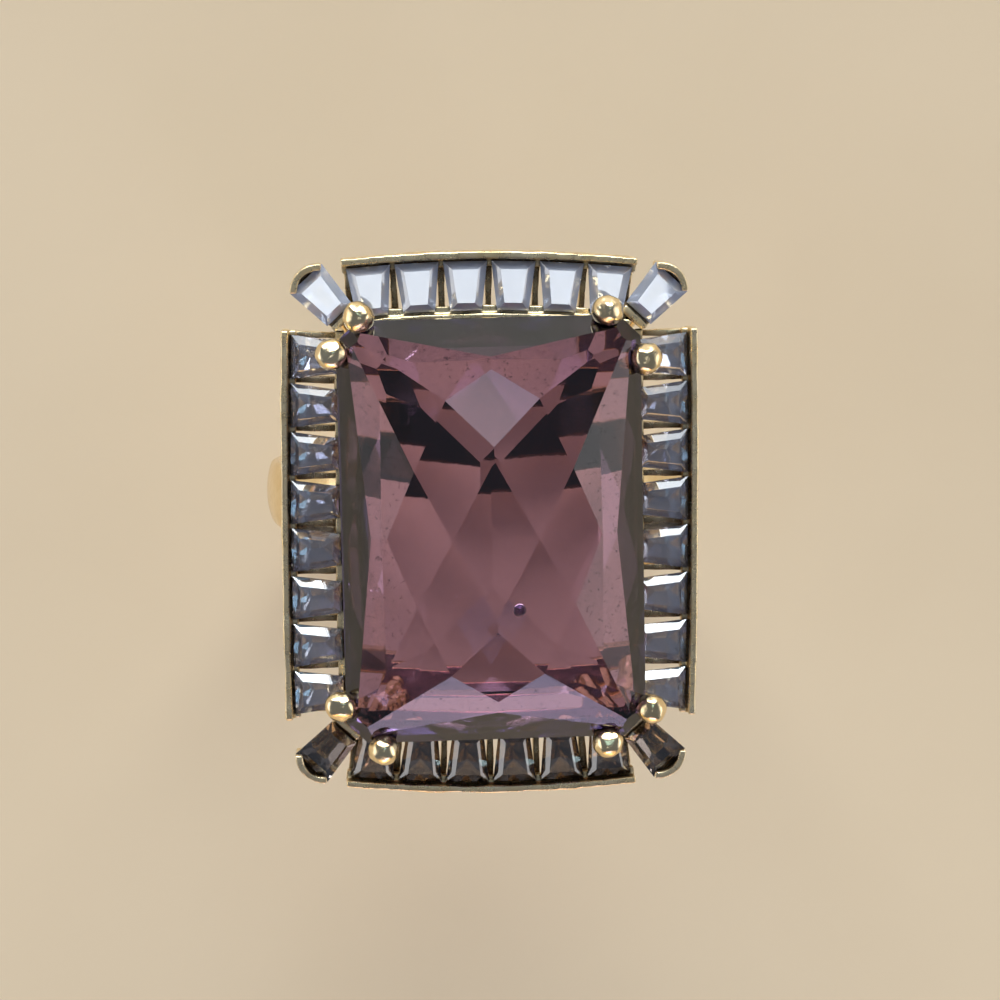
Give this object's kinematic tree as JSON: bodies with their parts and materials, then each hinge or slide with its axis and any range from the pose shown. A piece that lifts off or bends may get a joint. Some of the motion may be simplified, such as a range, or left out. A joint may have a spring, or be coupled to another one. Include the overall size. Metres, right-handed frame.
{
  "type": "cocktail ring",
  "caption": "Yellow gold cocktail ring with a large rectangular checkerboard-cut purple stone in claw prongs, ringed by tapered clear baguettes in open channels.",
  "frame": {"origin": "centre of the finger bore", "axes": "+Y along the finger bore and the centre stone's long side, +Z from the finger out through the middle of the face, +X across the face"},
  "size_m": [0.02, 0.0234, 0.0279],
  "materials": {
    "yellow_gold": "polished",
    "purple_stone": "polished facets",
    "clear_stone": "polished facets"
  },
  "bodies": {
    "root": {"baguette_left_1": "clear_stone", "baguette_left_2": "clear_stone", "baguette_left_3": "clear_stone", "baguette_left_4": "clear_stone", "baguette_left_5": "clear_stone", "baguette_left_6": "clear_stone", "baguette_left_7": "clear_stone", "baguette_left_8": "clear_stone", "baguette_lower_1": "clear_stone", "baguette_lower_2": "clear_stone", "baguette_lower_3": "clear_stone", "baguette_lower_4": "clear_stone", "baguette_lower_5": "clear_stone", "baguette_lower_6": "clear_stone", "baguette_lower_left": "clear_stone", "baguette_lower_right": "clear_stone", "baguette_right_1": "clear_stone", "baguette_right_2": "clear_stone", "baguette_right_3": "clear_stone", "baguette_right_4": "clear_stone", "baguette_right_5": "clear_stone", "baguette_right_6": "clear_stone", "baguette_right_7": "clear_stone", "baguette_right_8": "clear_stone", "baguette_upper_1": "clear_stone", "baguette_upper_2": "clear_stone", "baguette_upper_3": "clear_stone", "baguette_upper_4": "clear_stone", "baguette_upper_5": "clear_stone", "baguette_upper_6": "clear_stone", "baguette_upper_left": "clear_stone", "baguette_upper_right": "clear_stone", "base_rail": "yellow_gold", "centre_stone": "purple_stone", "channel_left": "yellow_gold", "channel_lower": "yellow_gold", "channel_lower_left": "yellow_gold", "channel_lower_right": "yellow_gold", "channel_right": "yellow_gold", "channel_upper": "yellow_gold", "channel_upper_left": "yellow_gold", "channel_upper_right": "yellow_gold", "prong_lower_left_end": "yellow_gold", "prong_lower_left_side": "yellow_gold", "prong_lower_right_end": "yellow_gold", "prong_lower_right_side": "yellow_gold", "prong_upper_left_end": "yellow_gold", "prong_upper_left_side": "yellow_gold", "prong_upper_right_end": "yellow_gold", "prong_upper_right_side": "yellow_gold", "seat_frame": "yellow_gold", "shank": "yellow_gold", "shoulder_left": "yellow_gold", "shoulder_right": "yellow_gold", "strut_lower_left": "yellow_gold", "strut_lower_right": "yellow_gold", "strut_upper_left": "yellow_gold", "strut_upper_right": "yellow_gold"}
  },
  "joints": []
}
